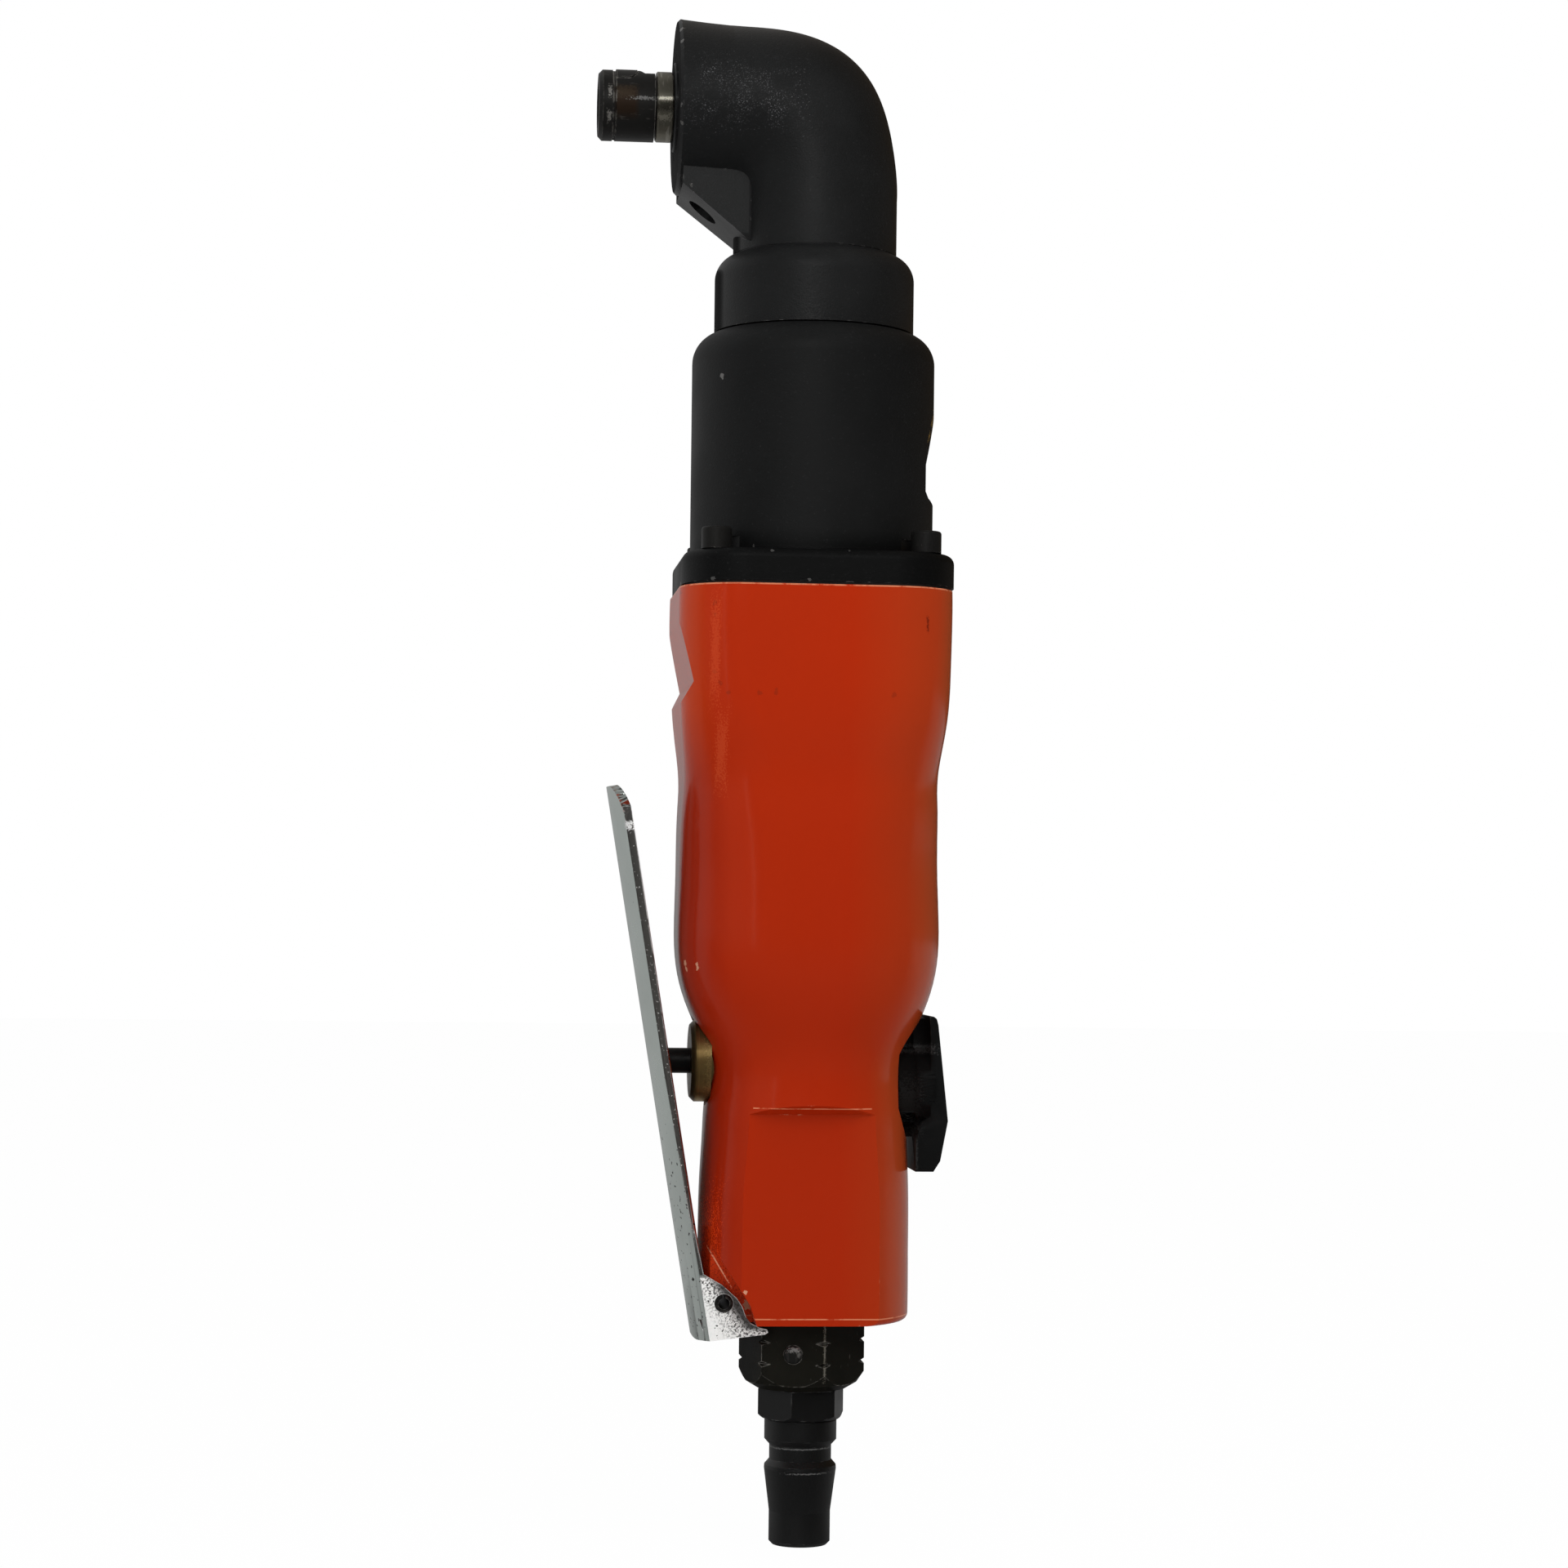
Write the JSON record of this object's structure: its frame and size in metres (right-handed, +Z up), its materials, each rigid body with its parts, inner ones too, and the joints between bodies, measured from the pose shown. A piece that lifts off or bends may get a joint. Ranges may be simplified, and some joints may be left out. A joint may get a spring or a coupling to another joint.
{
  "type": "right angle air screwdriver",
  "caption": "Pneumatic screwdriver with a straight orange handle, squeeze lever, reverse knob, black hammer case and a right angle head with a hex bit socket.",
  "frame": {"origin": "centre of the hand grip on the handle's axis", "axes": "+Z up the handle to the angle head, -X the way the bit points, -Z the way the air plug points, -Y the side the picture shows"},
  "size_m": [0.0639, 0.0482, 0.2711],
  "materials": {
    "orange_paint": "gloss, worn at edges",
    "black_cast": "fine cast texture, matte",
    "black_steel": "black oxide, satin",
    "bright_lever": "bright plated, scratched",
    "bare_steel": "ground",
    "brass": "turned",
    "bronze": "turned",
    "black_plastic": "moulded, satin",
    "grey_iron": "machined",
    "vane_composite": "woven resin",
    "gasket_paper": "matte",
    "black_rubber": "matte"
  },
  "bodies": {
    "tool_body": {"motor_housing": "orange_paint", "hammer_case": "black_cast", "flange_gasket": "gasket_paper", "flange_screws": "black_steel", "head_lock_collar": "black_cast", "angle_head_housing": "black_cast", "head_front_cap": "black_cast", "spindle_front_bearing": "bare_steel", "spindle_rear_bush": "bronze", "pinion_bearing": "bare_steel", "anvil_bush": "bronze", "motor_cylinder": "grey_iron", "front_end_plate": "grey_iron", "rear_end_plate": "grey_iron", "rotor_front_bearing": "bare_steel", "rotor_rear_bearing": "bare_steel", "motor_dowel": "bare_steel", "throttle_bush": "brass", "throttle_spring": "bare_steel", "lever_pivot_pin": "black_steel", "reverse_bush": "bronze", "detent_ball": "bare_steel", "detent_spring": "bare_steel", "inlet_bush": "black_steel", "inlet_lock_pin": "black_steel", "inlet_seal": "black_rubber", "inlet_screen": "bare_steel", "air_plug": "black_steel"},
    "motor_rotor": {"rotor": "bare_steel", "rotor_vanes": "vane_composite", "hammer_cage": "bare_steel", "hammer_dog": "bare_steel", "hammer_pin": "bare_steel"},
    "drive_shaft": {"anvil_shaft": "bare_steel", "bevel_pinion": "bare_steel"},
    "output": {"output_spindle": "black_steel", "bevel_gear": "bare_steel", "spindle_journal_ring": "bare_steel", "bit_retaining_ring": "bare_steel"},
    "bit_detent": {"bit_detent_key": "black_steel"},
    "lever": {"throttle_lever": "bright_lever"},
    "throttle": {"throttle_stem": "black_steel", "throttle_seal": "black_rubber"},
    "reverse": {"reverse_knob": "black_plastic", "reverse_valve": "bronze", "knob_set_screw": "black_steel"}
  },
  "joints": [
    {"name": "rotor_spin", "type": "hinge", "parent": "tool_body", "child": "motor_rotor", "pos_m": [0, 0, 0.027], "axis": [0, 0, 1], "continuous": true},
    {"name": "shaft_spin", "type": "hinge", "parent": "tool_body", "child": "drive_shaft", "pos_m": [0, 0, 0.1], "axis": [0, 0, 1], "continuous": true},
    {"name": "spindle_spin", "type": "hinge", "parent": "tool_body", "child": "output", "pos_m": [-0.02, 0, 0.1419], "axis": [-1, 0, 0], "continuous": true},
    {"name": "detent_lift", "type": "slide", "parent": "output", "child": "bit_detent", "axis": [0, 0, 1], "range_m": [0, 0.0006], "stiffness_N_per_m": 500, "springref_m": -0.001},
    {"name": "lever_press", "type": "hinge", "parent": "tool_body", "child": "lever", "pos_m": [-0.0148, 0, -0.0699], "axis": [0, 1, 0], "range_deg": [0, 4], "stiffness_Nm_per_rad": 0.8, "springref_deg": -5.73},
    {"name": "throttle_slide", "type": "slide", "parent": "tool_body", "child": "throttle", "axis": [1, 0, 0], "range_m": [0, 0.0034], "deforming": ["throttle_spring"]},
    {"name": "reverse_turn", "type": "hinge", "parent": "tool_body", "child": "reverse", "pos_m": [0.018, 0, -0.032], "axis": [1, 0, 0], "range_deg": [-45, 45]}
  ],
  "couplings": [
    {"joint": "shaft_spin", "follows": "rotor_spin", "ratio": 1},
    {"joint": "spindle_spin", "follows": "rotor_spin", "ratio": 0.82353},
    {"joint": "throttle_slide", "follows": "lever_press", "m_per_rad": 0.0441}
  ]
}
